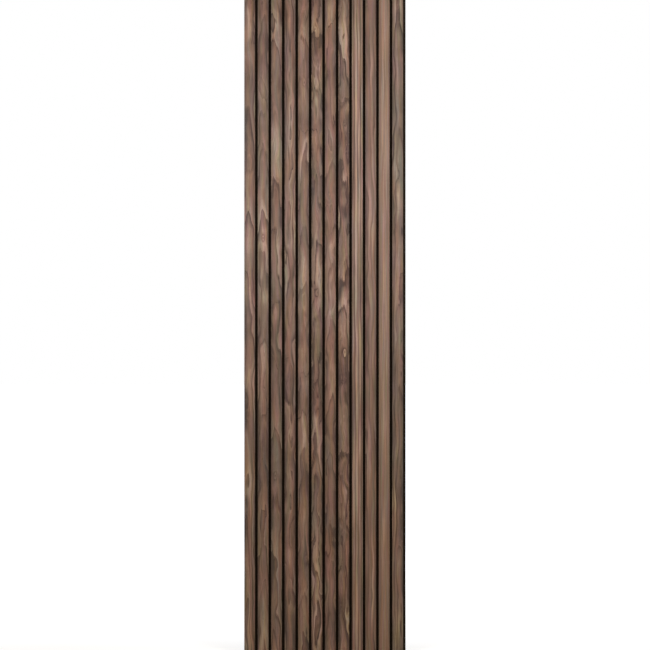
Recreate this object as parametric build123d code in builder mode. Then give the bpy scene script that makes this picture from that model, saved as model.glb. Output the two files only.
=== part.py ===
"""Slatted acoustic wall panel, in millimetres.

Twelve veneered slats stand side by side on one board of black felt. Each slat is followed by an
open groove where the felt shows, so the panel ends in a bare strip of felt and the next panel
carries on the same rhythm. The slats are glued to the felt and held by staples driven from behind.

X runs across the slats, Z along them and upwards, and the front faces -Y. The origin is the
centre of the felt's back face, which lies against the wall.
"""

import os

from build123d import *

# The slats and the grooves between them
slat_count = 12
slat_width = 40.0
slat_thickness = 12.0
groove_width = 10.0
panel_length = 2440.0
face_arris_radius = 1.0
back_arris_bevel = 0.4

# The felt board behind them
felt_thickness = 9.0

# One staple: a flat wire bent into a crown and two legs that end in a slanting point
staple_crown_length = 12.8
staple_wire_width = 0.95
staple_wire_thickness = 0.65
staple_point_length = 1.2
crown_depth_in_felt = 0.6
leg_bite_in_slat = 5.0

# Staples stand in rows across the panel, one behind each slat
staple_row_count = 7
staple_row_from_end = 20.0

slat_pitch = slat_width + groove_width
panel_width = slat_count * slat_pitch
slat_side_x = [-panel_width / 2 + i * slat_pitch for i in range(slat_count)]
slat_middle_x = [x + slat_width / 2 for x in slat_side_x]
row_span = panel_length - 2 * staple_row_from_end
staple_row_z = [
    -row_span / 2 + i * row_span / (staple_row_count - 1) for i in range(staple_row_count)
]
crown_back_y = -crown_depth_in_felt
leg_tip_y = -(felt_thickness + leg_bite_in_slat)


def make_staple_row(middle_x):
    """The staples behind one slat. The wire's outline lies in a plane along the slat."""
    half_crown = staple_crown_length / 2
    half_inside = half_crown - staple_wire_thickness
    crown_front_y = crown_back_y - staple_wire_thickness
    point_y = leg_tip_y + staple_point_length
    with BuildPart() as row:
        with BuildSketch(Plane.YZ.offset(middle_x)):
            with Locations(*[(0, z) for z in staple_row_z]):
                Polygon(
                    (crown_back_y, -half_crown),
                    (point_y, -half_crown),
                    (leg_tip_y, -half_inside),
                    (crown_front_y, -half_inside),
                    (crown_front_y, half_inside),
                    (leg_tip_y, half_inside),
                    (point_y, half_crown),
                    (crown_back_y, half_crown),
                    align=None,
                )
        extrude(amount=staple_wire_width / 2, both=True)
    return row.part


def make_slat(side_x, staple_row):
    """One slat: a flat strip with its two face edges eased, pierced from behind by its staples."""
    with BuildPart() as slat:
        with BuildSketch(Plane.XY.offset(-panel_length / 2)) as section:
            with Locations((side_x, -felt_thickness)):
                Rectangle(slat_width, slat_thickness, align=(Align.MIN, Align.MAX))
            corners = section.vertices().group_by(Axis.Y)
            face_corners, back_corners = corners[0], corners[-1]
            fillet(face_corners, face_arris_radius)
            chamfer(back_corners, back_arris_bevel)
        extrude(amount=panel_length)
        add(staple_row, mode=Mode.SUBTRACT)
    return slat.part


def make_felt_board(staple_rows):
    """The felt board, with a seat pressed into its back by each staple's crown."""
    with BuildPart() as board:
        with BuildSketch(Plane.XZ):
            Rectangle(panel_width, panel_length)
        extrude(amount=felt_thickness)
        with BuildSketch(Plane.XZ):
            with Locations(*[(x, z) for x in slat_middle_x for z in staple_row_z]):
                Rectangle(staple_wire_width, staple_crown_length)
        extrude(amount=crown_depth_in_felt, mode=Mode.SUBTRACT)
        for staple_row in staple_rows:
            add(staple_row, mode=Mode.SUBTRACT)
    return board.part


staple_rows = [make_staple_row(x) for x in slat_middle_x]
felt_board = make_felt_board(staple_rows)
with BuildPart() as staples:
    for staple_row in staple_rows:
        add(staple_row)

os.makedirs("parts", exist_ok=True)

felt_board.label = "felt_backing"
export_step(felt_board, "parts/felt_backing.step")

staples.part.label = "staples"
export_step(staples.part, "parts/staples.step")

for number, (side_x, staple_row) in enumerate(zip(slat_side_x, staple_rows), start=1):
    slat = make_slat(side_x, staple_row)
    slat.label = f"slat_{number:02d}"
    export_step(slat, f"parts/{slat.label}.step")
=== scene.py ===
from math import pi, radians
from typing import NamedTuple

import bpy
import numpy as np
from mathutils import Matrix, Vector


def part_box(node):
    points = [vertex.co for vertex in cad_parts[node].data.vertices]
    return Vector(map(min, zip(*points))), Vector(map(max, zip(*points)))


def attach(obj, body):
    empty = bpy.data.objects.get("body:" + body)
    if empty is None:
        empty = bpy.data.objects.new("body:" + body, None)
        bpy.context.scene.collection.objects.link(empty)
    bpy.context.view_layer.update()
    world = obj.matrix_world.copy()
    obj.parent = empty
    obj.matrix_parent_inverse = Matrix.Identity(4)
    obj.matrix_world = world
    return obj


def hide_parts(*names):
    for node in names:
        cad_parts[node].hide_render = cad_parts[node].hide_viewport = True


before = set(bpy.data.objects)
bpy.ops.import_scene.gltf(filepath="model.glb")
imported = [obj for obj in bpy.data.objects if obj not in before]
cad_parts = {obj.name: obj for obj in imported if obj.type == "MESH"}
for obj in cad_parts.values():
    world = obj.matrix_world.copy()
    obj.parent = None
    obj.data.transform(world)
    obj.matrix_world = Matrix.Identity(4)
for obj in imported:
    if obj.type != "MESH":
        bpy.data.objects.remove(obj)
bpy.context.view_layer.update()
mm = 0.001


# The felt board
# One sheet of black polyester felt, needle-punched, pressed to a stiff board and cut to size with a
# blade. It carries the slats on its front, and its back, dimpled by the staples, lies on the wall.

board_low, board_high = (np.array(corner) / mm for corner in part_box("felt_backing"))
slat_names = sorted(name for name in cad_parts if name.startswith("slat_"))
slat_boxes = [[np.array(corner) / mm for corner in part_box(name)] for name in slat_names]
slat_middles = np.array([(low[0] + high[0]) / 2 for low, high in slat_boxes])
staples_low, staples_high = (np.array(corner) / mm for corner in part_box("staples"))

staple_row_count = 7
half_crown = 6.4
staple_rows = np.linspace(
    staples_low[2] + half_crown, staples_high[2] - half_crown, staple_row_count
)
row_pitch = staple_rows[1] - staple_rows[0]

felt_edge_round = 0.5
felt_ripple_depth = 0.16
felt_ripple_length = 34.0
felt_edge_waver = 0.3
dimple_depth = 0.95
dimple_reach = 1.5


def ripple(along, across, wavelength, seed):
    """A smooth uneven surface between -1 and 1: the mean of a few sine waves of about that
    wavelength, each running its own way with its own phase."""
    random = np.random.default_rng(seed)
    wave_count = 7
    total = 0.0
    for _ in range(wave_count):
        heading = random.uniform(0, 2 * pi)
        length = wavelength * random.uniform(0.7, 1.5)
        phase = random.uniform(0, 2 * pi)
        run = along * np.cos(heading) + across * np.sin(heading)
        total = total + np.sin(2 * pi * run / length + phase)
    return total / wave_count


def lay_rings(name, rings, materials, is_second=None, sharp_over=35):
    """A mesh of closed bodies from points in millimetres, counted by body, ring and place in the
    ring. Four-sided faces join each ring to the next, and one face fills each end ring.
    is_second says which faces of a body, its two ends last, take the second material."""
    body_count, ring_count, ring_size = rings.shape[:3]
    ring, place = np.meshgrid(np.arange(ring_count - 1), np.arange(ring_size), indexing="ij")
    here = ring * ring_size + place
    beside = ring * ring_size + (place + 1) % ring_size
    quads = np.stack([here, beside, beside + ring_size, here + ring_size], axis=-1).reshape(-1, 4)
    ends = np.arange(ring_size)[::-1], np.arange(ring_size) + (ring_count - 1) * ring_size
    faces = []
    for first in np.arange(body_count) * ring_count * ring_size:
        faces += (quads + first).tolist() + [(end + first).tolist() for end in ends]
    mesh = bpy.data.meshes.new(name)
    mesh.from_pydata((rings * mm).reshape(-1, 3).tolist(), [], faces)
    for material in materials:
        mesh.materials.append(material)
    if is_second is not None:
        mesh.polygons.foreach_set("material_index", np.tile(is_second, body_count).astype(int))
    mesh.set_sharp_from_angle(angle=radians(sharp_over))
    mesh.update()
    piece = bpy.data.objects.new(name, mesh)
    bpy.context.scene.collection.objects.link(piece)
    return piece


class Wire:
    """What one node gives. Arithmetic with numbers and other wires adds Math nodes."""

    def __init__(self, nodes, socket):
        self.nodes = nodes
        self.socket = socket

    def math(self, operation, *values):
        return self.nodes.add("ShaderNodeMath", {"operation": operation}, dict(enumerate(values)))

    def __add__(self, other):
        return self.math("ADD", self, other)

    def __sub__(self, other):
        return self.math("SUBTRACT", self, other)

    def __rsub__(self, other):
        return self.math("SUBTRACT", other, self)

    def __mul__(self, other):
        return self.math("MULTIPLY", self, other)

    def __truediv__(self, other):
        return self.math("DIVIDE", self, other)

    def __pow__(self, other):
        return self.math("POWER", self, other)

    def __abs__(self):
        return self.math("ABSOLUTE", self)

    __radd__ = __add__
    __rmul__ = __mul__

    def rise(self, low, high):
        """0 up to low, 1 from high on, and a smooth rise between."""
        sockets = {"Value": self, "From Min": low, "From Max": high}
        return self.nodes.add("ShaderNodeMapRange", {"interpolation_type": "SMOOTHSTEP"}, sockets)


class Nodes:
    """A tree of nodes under construction, of a material or of the world."""

    def __init__(self, tree):
        self.tree = tree

    def add(self, kind, settings, sockets, out=0):
        """One more node: its settings first, then the numbers or wires of its sockets."""
        node = self.tree.nodes.new(kind)
        for setting, value in settings.items():
            setattr(node, setting, value)
        for socket, value in sockets.items():
            if isinstance(value, Wire):
                self.tree.links.new(value.socket, node.inputs[socket])
            else:
                node.inputs[socket].default_value = value
        return Wire(self, node.outputs[out])

    def noise(self, x, y, z, detail=1.0, roughness=0.5):
        """Smooth noise about 0, mostly within half a unit, that changes over one unit of x, y, z."""
        point = self.add("ShaderNodeCombineXYZ", {}, {"X": x, "Y": y, "Z": z})
        sockets = {"Vector": point, "Scale": 1.0, "Detail": detail, "Roughness": roughness}
        return (self.add("ShaderNodeTexNoise", {}, sockets) - 0.5) * 2.0

    def blend(self, amount, first, second):
        """Two colours mixed by an amount from 0 to 1."""
        settings = {"data_type": "RGBA", "clamp_factor": True}
        return self.add("ShaderNodeMix", settings, {0: amount, 6: first, 7: second}, out=2)

    def on_show(self):
        """1 for what the camera sees, also in a reflection or through glass, and 0 for light."""
        kinds = ("Is Camera Ray", "Is Glossy Ray", "Is Transmission Ray")
        straight, mirrored, through = (
            self.add("ShaderNodeLightPath", {}, {}, out=kind) for kind in kinds
        )
        total = straight + mirrored + through
        return total.math("MINIMUM", total, 1.0)


class Finish(Nodes):
    """A material on one principled shader. Its x, y and z are wires in millimetres."""

    def __init__(self, name, constants):
        self.material = bpy.data.materials.new(name)
        self.material.use_nodes = True
        super().__init__(self.material.node_tree)
        self.shader = self.tree.nodes["Principled BSDF"]
        for socket, value in constants.items():
            self.shader.inputs[socket].default_value = value
        place = self.add("ShaderNodeTexCoord", {}, {}, out="Object")
        parts = [self.add("ShaderNodeSeparateXYZ", {}, {0: place}, out=k) for k in range(3)]
        self.x, self.y, self.z = (part / mm for part in parts)

    def feed(self, wires):
        """Wires what changes over the surface into the shader's sockets."""
        for socket, wire in wires.items():
            self.tree.links.new(wire.socket, self.shader.inputs[socket])

    def emboss(self, height, rise):
        """Relief from a height between 0 and 1, which stands for that rise in millimetres."""
        bump = self.add("ShaderNodeBump", {}, {"Height": height, "Distance": rise * mm}, out="Normal")
        self.feed({"Normal": bump})


def black_felt():
    """Matt black fibres that lie every way, each course of them bent, in soft clumps, with a few
    paler ones among them."""
    felt = Finish("black felt", {"Specular IOR Level": 0.05})
    clumps = felt.noise(felt.x / 9, felt.y / 9, felt.z / 9, detail=2)
    fibres = 0.0
    for course, heading in enumerate(np.radians([15, 62, 105, 151])):
        bend = felt.noise(felt.x / 7, felt.z / 7, course * 5.3) * 2.4
        along = felt.x * float(np.cos(heading)) + felt.z * float(np.sin(heading)) + bend
        beside = felt.z * float(np.cos(heading)) - felt.x * float(np.sin(heading)) + bend
        strands = felt.noise(along / 3.2, beside / 0.27, felt.y / 0.4 + course * 9, detail=2)
        fibres = strands * 0.7 + fibres
    shade = fibres.rise(-0.6, 0.9) * 0.8 + clumps * 0.25 + 0.1
    pale = (fibres + clumps * 0.3).rise(0.6, 1.0) * 0.5
    body = felt.blend(shade, (0.0138, 0.0097, 0.0064, 1), (0.041, 0.0292, 0.0205, 1))
    colour = felt.blend(pale, body, (0.075, 0.06, 0.047, 1))
    felt.feed({"Base Color": colour, "Roughness": 0.96 - fibres.rise(-1, 1) * 0.08})
    felt.emboss(fibres * 0.5 + clumps * 0.3 + 0.5, 0.3)
    return felt.material


def felt_board_rings():
    """The outline of the board's section, front, right edge, back and left edge, carried up the
    board. The lines lie close together at the staples, where the back sinks in a smooth dimple
    round each crown, and elsewhere the faces ripple inwards by a fraction of a millimetre."""
    left, front, bottom = board_low
    right, back, top = board_high
    per_slat_front = np.array([-16, 0, 16, 20.3, 22.2, 24.2, 26.0, 27.8, 29.7])
    per_slat_back = np.array([-16, -9, -4.5, -2.4, -1.3, -0.5, 0.5, 1.3, 2.4, 4.5, 9, 16, 24])
    front_x = (slat_middles[:, None] + per_slat_front).ravel()
    back_x = (slat_middles[:, None] + per_slat_back).ravel()[::-1]
    edge_in = felt_edge_round * np.array([1, 0.3, 0, 0, 0, 0, 0.3, 1])
    edge_y = np.array([0, 0.3, 1, 5, 11, 17, 17.7, 18]) * felt_edge_round + front
    x = np.concatenate([front_x, right - edge_in, back_x, left + edge_in])
    y = np.concatenate([np.full(front_x.size, front), edge_y, np.full(back_x.size, back),
                        edge_y[::-1]])
    near_row = np.array([-11, -8.6, -7.4, -6.6, -5.6, -3.2, 0, 3.2, 5.6, 6.6, 7.4, 8.6, 11])
    to_next_row = np.linspace(near_row[-1], row_pitch - near_row[-1], 32)[1:-1]
    z = (staple_rows[:, None] + np.concatenate([near_row, to_next_row])).ravel()
    z = z[z < staple_rows[-1] + near_row[-1] + 1]
    end_in = felt_edge_round * np.array([0, 0.3, 1, 10])
    z = np.concatenate([bottom + end_in, z, top - end_in[::-1]])
    inset = np.zeros(z.size)
    inset[:2] = inset[-1:-3:-1] = felt_edge_round, felt_edge_round * 0.3
    middle_y = (front + back) / 2
    x = x * (1 - inset[:, None] / right)
    y = middle_y + (y - middle_y) * (1 + inset[:, None] / (front - middle_y))
    z = np.broadcast_to(z[:, None], x.shape)
    swell = ripple(z, x, felt_ripple_length, 1) * 0.5 + 0.5
    waver = ripple(z, y * 6, felt_ripple_length, 2) * 0.5 + 0.5
    off_middle = np.abs(x[..., None] - slat_middles).min(axis=-1)
    off_row = np.maximum(np.abs(z[..., None] - staple_rows).min(axis=-1) - half_crown, 0)
    dimple = dimple_depth * np.exp(-(off_middle ** 2 + off_row ** 2) / dimple_reach ** 2)
    on_face = np.abs(x) < right - felt_edge_round * 0.9
    is_back = on_face & (y > middle_y)
    y = y + np.where(on_face, np.sign(middle_y - y) * felt_ripple_depth * swell, 0)
    y = y - np.where(is_back, dimple, 0)
    x = x - np.where(on_face, 0, np.sign(x) * felt_edge_waver * waver)
    return np.stack([x, y, z], axis=-1)


felt_board = lay_rings("felt_board", felt_board_rings()[None], [black_felt()], sharp_over=60)
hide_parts("felt_backing")
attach(felt_board, "root")


# The slats
# Strips of medium-density fibreboard, each wrapped over its face and sides in one leaf of walnut
# veneer, sanded, oiled and sawn to length. The saw leaves the veneer's edge and the core in view.
# They are glued to the felt in line with its left edge, one groove apart.

slat_length = slat_boxes[0][1][2] - slat_boxes[0][0][2]
half_slat = (slat_boxes[0][1][0] - slat_boxes[0][0][0]) / 2
slat_thickness = slat_boxes[0][1][1] - slat_boxes[0][0][1]
slat_back = slat_boxes[0][1][1]
arris_radius = 1.0
back_bevel = 0.4
veneer_thickness = 0.6
saw_softening = 0.15
face_ripple_depth = 0.035
pith_radius = 3.0
knot_half_width = 6.0
knot_half_length = 17.0
# How far in from each long edge of a slat's face its painted edge shade begins, in millimetres
painted_shade_reach = 18.0


class Leaf(NamedTuple):
    """How one leaf was cut from the log, in millimetres: how far its middle lies beside the heart
    and in front of it, how fast that depth changes along the leaf, how far it swells, wanders and
    curls, and the width of a growth ring. Then the tone, contrast, streaks, redness and yellowness
    of its colour, and how far the rings bulge round a pin knot, and that knot's place across and
    along the leaf."""

    beside: float
    depth: float
    taper: float
    swell: float
    wander: float
    curl: float
    ring: float
    tone: float
    contrast: float
    streaks: float
    redness: float
    yellowness: float
    knot: float = 0.0
    knot_across: float = 0.0
    knot_along: float = 0.0


leaves = [
    Leaf(8, 30, 0.023, 9, 9, 2.5, 8.5, 0.51, 1.6, 0.3, 0.2, 0.0),
    Leaf(-4, 56, 0.036, 10, 8, 2.5, 8.0, 0.54, 1.45, 0.3, -0.2, -0.1,
         knot=12, knot_across=0, knot_along=323),
    Leaf(9, 52, 0.034, 10, 9, 3.0, 8.0, 0.46, 1.5, 0.3, -0.3, 0.0,
         knot=9, knot_across=-5, knot_along=-560),
    Leaf(2, 24, -0.018, 12, 9, 3.5, 8.5, 0.51, 1.6, 0.3, 0.2, -0.1),
    Leaf(-3, 58, 0.038, 11, 9, 4.0, 8.0, 0.55, 1.3, 0.3, 0.1, 0.1,
         knot=10, knot_across=3, knot_along=901),
    Leaf(3, 54, 0.036, 12, 10, 5.0, 8.0, 0.43, 1.9, 0.3, 0.0, 0.0,
         knot=8, knot_across=3, knot_along=120),
    Leaf(-2, 60, 0.038, 11, 10, 4.5, 8.5, 0.53, 1.35, 0.3, 0.6, 0.0,
         knot=12, knot_across=-4, knot_along=479),
    Leaf(4, 56, 0.038, 12, 9, 5.0, 8.5, 0.46, 2.05, 0.3, 0.5, 0.2,
         knot=10, knot_across=4, knot_along=-100),
    Leaf(62, 30, 0.004, 2, 2, 0.4, 10.5, 0.82, 1.3, 0.8, 0.1, -0.1),
    Leaf(24, 30, 0.010, 7, 6, 1.5, 9.0, 0.53, 1.0, 0.35, 0.3, 0.0),
    Leaf(55, 36, -0.005, 2, 2, 0.4, 4.8, 0.76, 0.7, 0.35, 0.15, 0.1),
    Leaf(-12, 30, 0.020, 8, 7, 2.0, 9.0, 0.55, 1.6, 0.3, -0.8, 0.0),
]


def walnut_veneer(number, leaf):
    """Growth rings are circles round the heart, so a flat leaf cuts them where the root of the
    squared distances beside and in front of the heart is a whole number of rings. The depth in
    front changes slowly along the leaf, which draws the rings out into long tongues and peaks, and
    curly growth throws them sideways into flames. Tone and hue drift from ring to ring, and a ring
    darkens towards its edge. Noise drawn out along the grain gives streaks, fibres and pores."""
    veneer = Finish(f"walnut veneer {number:02d}", {"Specular IOR Level": 0.3})
    seed = number * 17.3
    across = veneer.add("ShaderNodeAttribute", {"attribute_name": "across"}, {}, out="Fac")
    along = veneer.z

    # Its place in the log
    bend = veneer.noise(0.0, along / 330, seed) * leaf.wander * 2
    flame = veneer.noise(across / 26, along / 80, seed + 1) * leaf.curl * 3
    beside = across + leaf.beside + bend + flame
    swell = veneer.noise(across / 32, along / 130, seed + 2) * leaf.swell
    licks = veneer.noise(across / 5 + along / 60, along / 75, seed + 2.5) * leaf.curl * 0.42
    knot_x = (across - leaf.knot_across) / knot_half_width
    knot_z = (along - leaf.knot_along) / knot_half_length
    near_knot = (knot_x * knot_x + knot_z * knot_z + 1.0) ** -2.0
    depth = along * leaf.taper + leaf.depth + swell + licks + near_knot * leaf.knot
    radius = (beside * beside + depth * depth + pith_radius ** 2) ** 0.5

    # Its growth rings, streaks and fibres
    turns = radius / leaf.ring
    ring = turns.math("FLOOR", turns)
    within = turns - ring
    step = ring + within.rise(0.82, 1.0)
    late_wood = within.rise(0.35, 0.88) * (1 - within.rise(0.9, 1.0))
    drift = veneer.noise(turns * 0.8, along / 420, seed + 3, detail=3, roughness=0.65)
    own_tone = veneer.noise(step * 2.7, along / 260, seed + 3.5)
    cloud = veneer.noise(beside / 13, along / 170, seed + 4, detail=2)
    streak = veneer.noise(beside / 1.7, along / 150, seed + 5, detail=3)
    fibre = veneer.noise(beside / 0.32, along / 26, seed + 6, detail=3)
    # Painted sheen: soft pale ripples across the grain, standing in for the shimmer of the wood's
    # figure
    painted_sheen = veneer.noise(across / 26, along / 11, seed + 7) * (cloud + 0.5)
    ring_strength = (drift + cloud + 0.2).rise(-0.4, 0.9)

    # Its tone, with painted shade darkening it towards the slat's edges, and darker at a knot
    light = (
        own_tone * 0.5 + drift * 0.6 + cloud * 0.2 + streak * leaf.streaks * 0.8
        + painted_sheen * 0.08 - late_wood * (ring_strength * 0.42 + leaf.streaks * 0.4 - 0.04) + 0.07
    )
    painted_edge_shade = abs(across).rise(half_slat - painted_shade_reach, half_slat + 1)
    tone = light * leaf.contrast + leaf.tone - painted_edge_shade * 0.38 - near_knot ** 8.0 * leaf.knot * 0.05
    dark, middle, pale = (0.078, 0.043, 0.029, 1), (0.246, 0.150, 0.101, 1), (0.45, 0.31, 0.215, 1)
    colour = veneer.blend(tone.rise(-0.3, 0.6), dark, middle)
    colour = veneer.blend(tone.rise(0.48, 1.15), colour, pale)

    # Its hue
    red = veneer.noise(turns * 0.55 + beside / 16, along / 190, seed + 8, detail=2)
    yellow = veneer.noise(turns * 0.5 + beside / 12, along / 150, seed + 8.5, detail=2)
    # The painted edge shade also takes a little red out of the hue near the slat's edges.
    red_gain = red * 0.38 - painted_edge_shade * 0.07 + (leaf.redness * 0.08 + 1.035)
    blue_gain = yellow * 0.42 + red * 0.04 + (1.01 - leaf.yellowness * 0.08)
    grain = fibre * 0.28 + streak * 0.16 + 1.0
    gains = {"X": red_gain * grain, "Y": grain, "Z": blue_gain * grain}
    tint = veneer.add("ShaderNodeCombineXYZ", {}, gains)
    colour = veneer.add("ShaderNodeVectorMath", {"operation": "MULTIPLY"}, {0: colour, 1: tint})

    # Its pores, sheen and relief
    pore_field = veneer.noise(across / 0.16, along / 3.4, seed + 9)
    pores = (pore_field + (0.5 - within) * 0.25).rise(0.34, 0.52)
    colour = veneer.blend(pores * 0.55, colour, (0.05, 0.028, 0.018, 1))
    roughness = 0.50 + pores * 0.2 - fibre * 0.08 + late_wood * 0.04
    veneer.feed({"Base Color": colour, "Roughness": roughness})
    veneer.emboss(0.7 - pores * 0.6 + fibre * 0.2 + late_wood * 0.08, 0.09)
    return veneer.material


def fibreboard():
    """Fine wood fibre pressed with resin: brown, speckled, and a little darker at its skins."""
    core = Finish("fibreboard core", {"Specular IOR Level": 0.2})
    speckle = core.noise(core.x / 0.5, core.y / 0.3, core.z / 0.5, detail=4)
    patch = core.noise(core.x / 4, core.y / 2, core.z / 4, detail=2)
    mid_depth = (core.y - (slat_back - slat_thickness / 2)) / (slat_thickness / 2)
    skin = abs(mid_depth).rise(0.55, 1.0)
    shade = speckle * 0.5 + patch * 0.2 - skin * 0.3 + 0.6
    core.feed({"Base Color": core.blend(shade, (0.13, 0.082, 0.045, 1), (0.36, 0.25, 0.155, 1)),
               "Roughness": 0.82 + speckle * 0.1})
    core.emboss(speckle * 0.5 + 0.5, 0.15)
    return core.material


def slat_outline():
    """A slat's section as places across and depths below the face, from the left back corner over
    the face to the right back corner and back. The two arrises are quarter circles."""
    turn = np.linspace(0, pi / 2, 6)
    flat = half_slat - arris_radius
    side = np.linspace(slat_thickness - back_bevel, arris_radius, 5)[:-1]
    left_x = np.concatenate([np.full(side.size, -half_slat), -flat - arris_radius * np.cos(turn)])
    left_depth = np.concatenate([side, arris_radius * (1 - np.sin(turn))])
    face = np.linspace(-flat, flat, 17)[1:-1]
    back = np.linspace(half_slat - back_bevel, back_bevel - half_slat, 5)
    x = np.concatenate([left_x, face, -left_x[::-1], back])
    depth = np.concatenate([left_depth, np.zeros(face.size), left_depth[::-1],
                            np.full(back.size, slat_thickness)])
    return x, depth, x.size - back.size


column_count = 6
rings_per_column = 68
end_rings = 2
hidden_back_scale = 0.15
column_margin = 0.02
columns_bottom = 0.005
columns_height = 0.93
ends_left = 0.05
ends_bottom = 0.955
ends_scale = 0.0023
end_to_end = 0.2


def slat_rings(number, middle):
    """The outline carried up the slat, with rings for the softened saw cut and the veneer's inner
    line at each end. The face rises and falls by a few hundredths of a millimetre."""
    x, depth, _ = slat_outline()
    half_length = slat_length / 2
    body = np.linspace(-half_length, half_length, column_count * rings_per_column + 1)[1:-1]
    near_end = half_length - saw_softening
    z = np.concatenate([[-half_length, -half_length, -near_end], body,
                        [near_end, half_length, half_length]])
    inset = np.zeros(z.size)
    inset[:2] = inset[-1:-3:-1] = veneer_thickness, saw_softening
    x = x * (1 - inset[:, None] / half_slat)
    depth = inset[:, None] + depth * (1 - inset[:, None] * 1.1 / slat_thickness)
    z = np.broadcast_to(z[:, None], x.shape)
    relief = ripple(z * 0.35, x, 19, 40 + number) * 0.5 + 0.5
    on_face = depth < veneer_thickness + 0.1
    depth = depth + np.where(on_face, face_ripple_depth * relief, 0)
    y = slat_back - slat_thickness + depth
    return np.stack([middle + x, y, z], axis=-1)


def unroll(slat, ring_count):
    """The slat's skin unrolled on its own map, so that its grain is baked at full size: one column
    for each sixth of its length, side by side, with the ends above them. Distances round the
    section and along the slat become places on the map, and the hidden back is drawn narrow."""
    x, depth, veneered = slat_outline()
    width = np.hypot(np.roll(x, -1) - x, np.roll(depth, -1) - depth)
    width[veneered:-1] *= hidden_back_scale
    round_it = np.concatenate([[0], np.cumsum(width)]) / width.sum()
    interval = np.arange(ring_count - 1)
    column = ((interval - end_rings) // rings_per_column).clip(0, column_count - 1)
    in_column = interval - end_rings - column * rings_per_column
    low = (in_column + end_rings) / (rings_per_column + 2 * end_rings)
    high = low + 1 / (rings_per_column + 2 * end_rings)
    in_margins = column_margin + (1 - 2 * column_margin) * round_it
    u_low = (column[:, None] + in_margins[:-1]) / column_count
    u_high = (column[:, None] + in_margins[1:]) / column_count
    v_low = np.broadcast_to(columns_bottom + columns_height * low[:, None], u_low.shape)
    v_high = np.broadcast_to(columns_bottom + columns_height * high[:, None], u_low.shape)
    u = np.stack([u_low, u_high, u_high, u_low], axis=-1).ravel()
    v = np.stack([v_low, v_low, v_high, v_high], axis=-1).ravel()
    end_u = ends_left + ends_scale * (x + half_slat)
    end_v = ends_bottom + ends_scale * depth
    places = np.stack([np.concatenate([u, end_u[::-1], end_u + end_to_end]),
                       np.concatenate([v, end_v[::-1], end_v])], axis=-1)
    slat.data.uv_layers.new(name="OFBake").data.foreach_set("uv", places.ravel())


fibreboard_core = fibreboard()
outline_x, outline_depth, veneered = slat_outline()
outline_steps = np.hypot(np.diff(outline_x), np.diff(outline_depth))
unrolled = np.concatenate([[0], np.cumsum(outline_steps)])
across = unrolled - unrolled[veneered - 1] / 2
for number, (name, middle) in enumerate(zip(slat_names, slat_middles), start=1):
    rings = slat_rings(number, middle)
    ring_count, ring_size = rings.shape[:2]
    place = np.tile(np.arange(ring_size), ring_count - 1)
    is_core = np.concatenate([place >= veneered - 1, [True, True]])
    veneer = walnut_veneer(number, leaves[number - 1])
    slat = lay_rings(f"veneered_{name}", rings[None], [veneer, fibreboard_core], is_core)
    layer = slat.data.attributes.new("across", "FLOAT", "POINT")
    layer.data.foreach_set("value", np.tile(across, ring_count))
    unroll(slat, ring_count)
    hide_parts(name)
    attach(slat, "root")


# The staples
# Galvanised flat wire, bent to a crown and two legs with slanting points. An air gun drives them
# through the felt into each slat from behind, so that only the crowns show, sunk in the felt.

wire_width = 0.95
wire_thickness = 0.65
crown_sunk = 0.6
bend_radius = 0.75
point_length = 1.2
wire_corner = 0.12
leg_tip = staples_low[1]
leg_stops = -9, -4


def galvanised_wire():
    """Bright zinc, drawn along the wire, dulled in patches and a little yellow from its lacquer."""
    zinc = Finish("galvanised staple wire", {"Metallic": 1.0})
    drawn = zinc.noise(zinc.x / 0.06, zinc.y / 3, zinc.z / 3, detail=2)
    patch = zinc.noise(zinc.x / 1.5, zinc.y / 1.5, zinc.z / 2.5, detail=2)
    colour = zinc.blend(patch.rise(-0.5, 0.5), (0.42, 0.40, 0.36, 1), (0.66, 0.65, 0.62, 1))
    zinc.feed({"Base Color": colour, "Roughness": 0.32 + patch * 0.15 + drawn * 0.1})
    zinc.emboss(drawn * 0.5 + 0.5, 0.02)
    return zinc.material


def staple_rings():
    """A rounded oblong section carried up one leg, round a quarter circle, along the crown and
    down the other leg. The end sections slant, so that each leg's point is on its inner side."""
    crown_y = -crown_sunk - wire_thickness / 2
    leg_z = half_crown - wire_thickness / 2
    bend_from_y = crown_y - bend_radius
    turn = np.linspace(0, pi / 2, 7)
    leg_y = np.array([leg_tip, leg_tip + point_length, *leg_stops])
    path_y = np.concatenate([leg_y, bend_from_y + bend_radius * np.sin(turn)])
    path_z = np.concatenate([np.full(leg_y.size, -leg_z),
                             -leg_z + bend_radius * (1 - np.cos(turn))])
    out_y = np.concatenate([np.zeros(leg_y.size), np.sin(turn)])
    out_z = -np.concatenate([np.ones(leg_y.size), np.cos(turn)])
    wide, thick = wire_width / 2, wire_thickness / 2
    flat_wide, flat_thick = wide - wire_corner, thick - wire_corner
    section_x = np.array([-wide, -wide, -flat_wide, flat_wide, wide, wide, flat_wide, -flat_wide])
    section_out = np.array([-flat_thick, flat_thick, thick, thick,
                            flat_thick, -flat_thick, -thick, -thick])
    path_y, path_z, out_y, out_z = (
        np.concatenate([half, sign * half[::-1]])
        for half, sign in ((path_y, 1), (path_z, -1), (out_y, 1), (out_z, -1))
    )
    slant = np.zeros(path_y.size)
    slant[0] = slant[-1] = point_length
    y = path_y[:, None] + out_y[:, None] * section_out
    y = y + slant[:, None] * (section_out / wire_thickness + 0.5)
    z = path_z[:, None] + out_z[:, None] * section_out
    x = np.broadcast_to(section_x, y.shape)
    one = np.stack([x, y, z], axis=-1)
    middle, row = np.meshgrid(slat_middles, staple_rows, indexing="ij")
    places = np.stack([middle, np.zeros_like(middle), row], axis=-1).reshape(-1, 1, 1, 3)
    return places + one


staples = lay_rings("driven_staples", staple_rings(), [galvanised_wire()])
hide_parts("staples")
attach(staples, "root")


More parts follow.
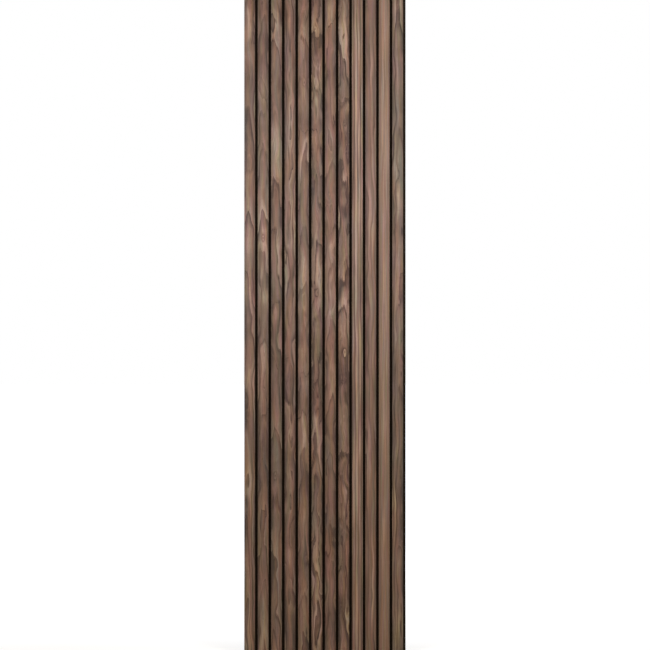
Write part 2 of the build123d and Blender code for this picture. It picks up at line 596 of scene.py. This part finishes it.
# The studio
# Two soft lamps high in front on either side, one farther off behind, and a long lens square to the
# panel's middle. The pale floor bounces warm light up the panel. Room and floor are white to the
# camera and in reflections, the floor by a painted glow that is least near the panel, where its
# shadow shows, and more far off and behind it, where it paints the shadow out. As a light the room is
# dim.

shown_height = 2.415
lens = 100.0
film_width = 36.0
camera_distance = shown_height * lens / film_width
slat_face = slat_boxes[0][0][1] * mm
lamp_side = 1.0
lamp_front = 1.38
lamp_height = 0.67
lamp_size = 0.7
lamp_power = 12.6
lamp_colour = (0.925, 1.0, 1.15)
back_lamp_place = (0.9, 2.6, 1.1)
back_lamp_aim = (0, 0, 0.2)
back_lamp_size = 1.2
back_lamp_power = 40.0
room_light = 0.345
room_colour = (1.0, 0.87, 0.67, 1)
white = (1, 1, 1, 1)
gap_over_floor = 0.0005
floor_z = board_low[2] * mm - gap_over_floor
floor_reach = 30.0
floor_colour = (0.86, 0.78, 0.64, 1)
glow_colour = (0.865, 0.955, 1.095)
glow_at_panel = 0.55
more_when_far = 0.4
far_from, far_to = 1.5, 2.9
more_behind = 0.09
behind_from, behind_to = 0.05, 0.4


def area_lamp(name, place, aim, power, size):
    """A square soft lamp at a place, turned to face a point."""
    lamp = bpy.data.lights.new(name, "AREA")
    lamp.energy = power
    lamp.size = size
    lamp.color = lamp_colour
    holder = bpy.data.objects.new(name, lamp)
    holder.location = place
    facing = Vector(aim) - Vector(place)
    holder.rotation_euler = facing.to_track_quat("-Z", "Y").to_euler()
    bpy.context.scene.collection.objects.link(holder)


for side in (-1, 1):
    area_lamp(f"front_lamp_{side}", (side * lamp_side, -lamp_front, lamp_height),
              (0, 0, lamp_height), lamp_power, lamp_size)
area_lamp("back_lamp", back_lamp_place, back_lamp_aim, back_lamp_power, back_lamp_size)

world = bpy.data.worlds.new("studio room")
world.use_nodes = True
bpy.context.scene.world = world
room = Nodes(world.node_tree)
shown = room.on_show()
background = room.tree.nodes["Background"]
colour = room.blend(shown, room_colour, white)
strength = shown * (1 - room_light) + room_light
room.tree.links.new(colour.socket, background.inputs["Color"])
room.tree.links.new(strength.socket, background.inputs["Strength"])

floor_mesh = bpy.data.meshes.new("floor")
corners = [(-1, -1), (1, -1), (1, 1), (-1, 1)]
floor_mesh.from_pydata([(x * floor_reach, y * floor_reach, floor_z) for x, y in corners], [],
                       [(0, 1, 2, 3)])
floor = bpy.data.objects.new("floor", floor_mesh)
bpy.context.scene.collection.objects.link(floor)
floor_paint = bpy.data.materials.new("pale floor")
floor_paint.use_nodes = True
ground = Nodes(floor_paint.node_tree)
paint = floor_paint.node_tree.nodes["Principled BSDF"]
paint.inputs["Base Color"].default_value = floor_colour
paint.inputs["Roughness"].default_value = 0.9
paint.inputs["Specular IOR Level"].default_value = 0.0
spot = ground.add("ShaderNodeTexCoord", {}, {}, out="Object")
reach = ground.add("ShaderNodeVectorMath", {"operation": "LENGTH"}, {0: spot}, out="Value")
behind = ground.add("ShaderNodeSeparateXYZ", {}, {0: spot}, out="Y")
# The floor's painted glow: least at the panel, rising far off and just behind the panel, where it
# paints out the panel's cast shadow; its bluish tint cancels the floor's warm paint
glow = (
    reach.rise(far_from, far_to) * more_when_far
    + behind.rise(behind_from, behind_to) * more_behind + glow_at_panel
)
scale = {0: glow_colour, "Scale": ground.on_show() * glow}
shine = ground.add("ShaderNodeVectorMath", {"operation": "SCALE"}, scale)
paint.inputs["Emission Strength"].default_value = 1.0
ground.tree.links.new(shine.socket, paint.inputs["Emission Color"])
floor_mesh.materials.append(floor_paint)

camera_data = bpy.data.cameras.new("camera")
camera_data.lens = lens
camera_data.sensor_width = film_width
camera = bpy.data.objects.new("camera", camera_data)
camera.location = (0, slat_face - camera_distance, 0)
camera.rotation_euler = (pi / 2, 0, 0)
bpy.context.scene.collection.objects.link(camera)
bpy.context.scene.camera = camera
bpy.context.scene.view_settings.view_transform = "Standard"
